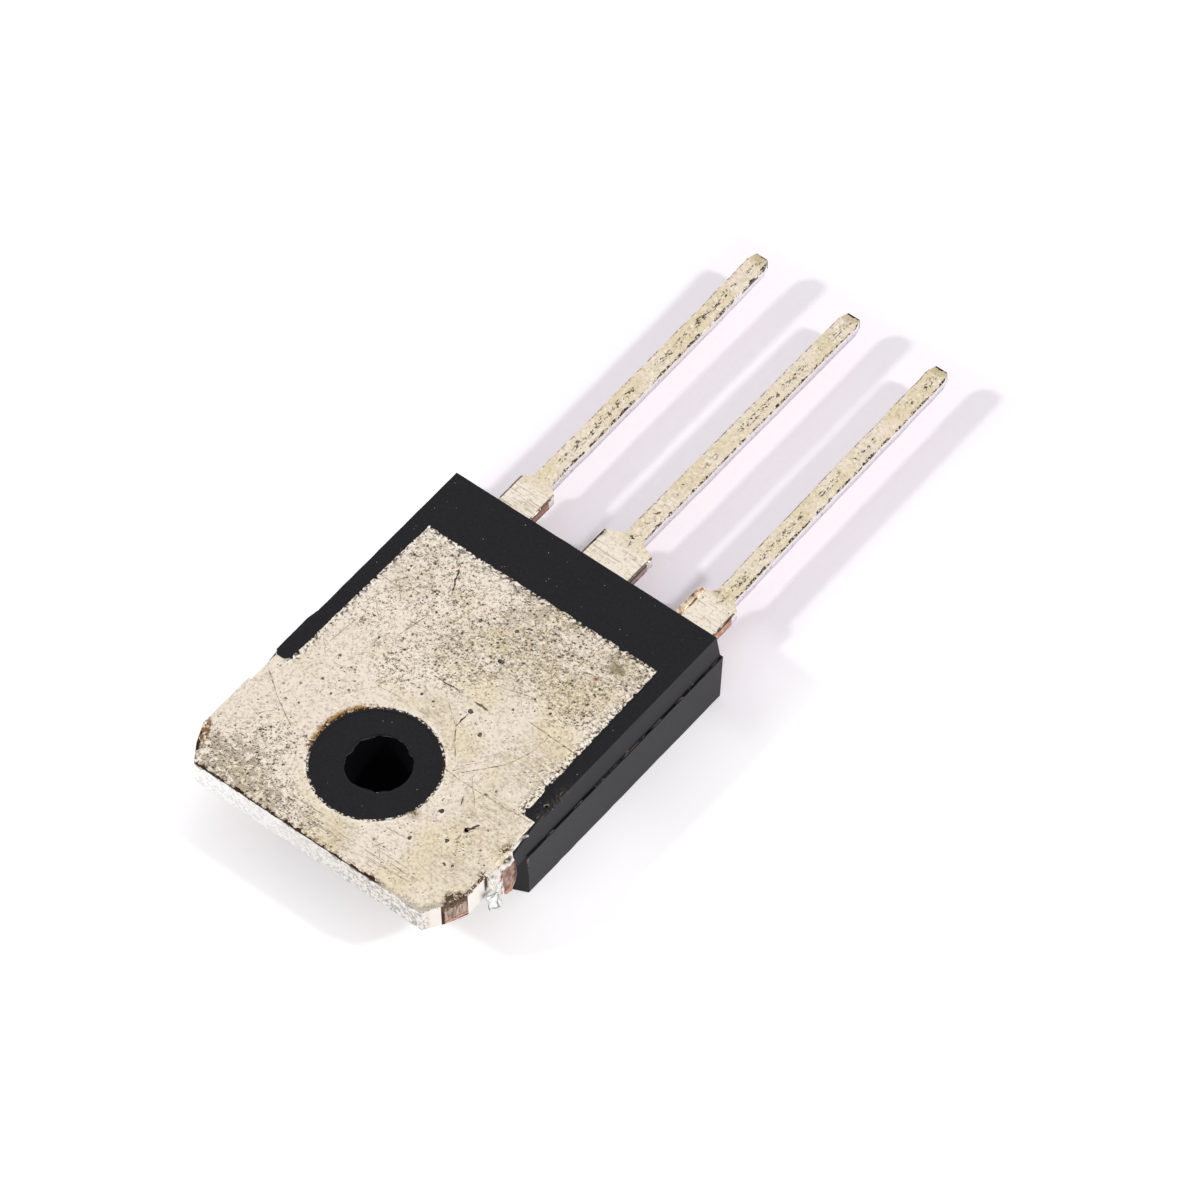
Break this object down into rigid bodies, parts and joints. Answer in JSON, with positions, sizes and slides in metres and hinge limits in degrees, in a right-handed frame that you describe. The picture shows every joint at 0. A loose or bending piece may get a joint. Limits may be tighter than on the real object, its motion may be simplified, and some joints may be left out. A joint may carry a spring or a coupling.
{
  "type": "power diode",
  "caption": "Through-hole dual power diode: flat black moulded body, plated copper heat-spreader tab with a lined screw hole, and a row of straight leads.",
  "frame": {"origin": "screw-hole axis on the plane of the moulded front face, which the part lies on", "axes": "+Y from the screw hole towards the lead tips, +Z out of the header's bare back, +X across the leads"},
  "size_m": [0.016, 0.0403, 0.0046],
  "materials": {
    "moulding": "matte black transfer-moulded epoxy, paler where the drafted sides catch the light",
    "plated_header": "warm dull nickel or tin plating on copper, pitted, scratched and tarnished, copper bare at the sheared tie bars",
    "plated_lead": "warm dull plating on copper with a pitted line along the pins and bare copper at the cut dam bars",
    "silicon": "dark metallised silicon, sealed in the moulding",
    "solder": "grey solder, sealed in the moulding",
    "bond_wire": "drawn aluminium wire, sealed in the moulding"
  },
  "bodies": {
    "root": {"mould_body": "moulding", "cathode_frame": "plated_header", "anode_lead_left": "plated_lead", "anode_lead_right": "plated_lead", "die_left": "silicon", "die_right": "silicon", "solder_left": "solder", "solder_right": "solder", "bond_wire_left_outer": "bond_wire", "bond_wire_left_inner": "bond_wire", "bond_wire_right_inner": "bond_wire", "bond_wire_right_outer": "bond_wire"}
  },
  "joints": []
}
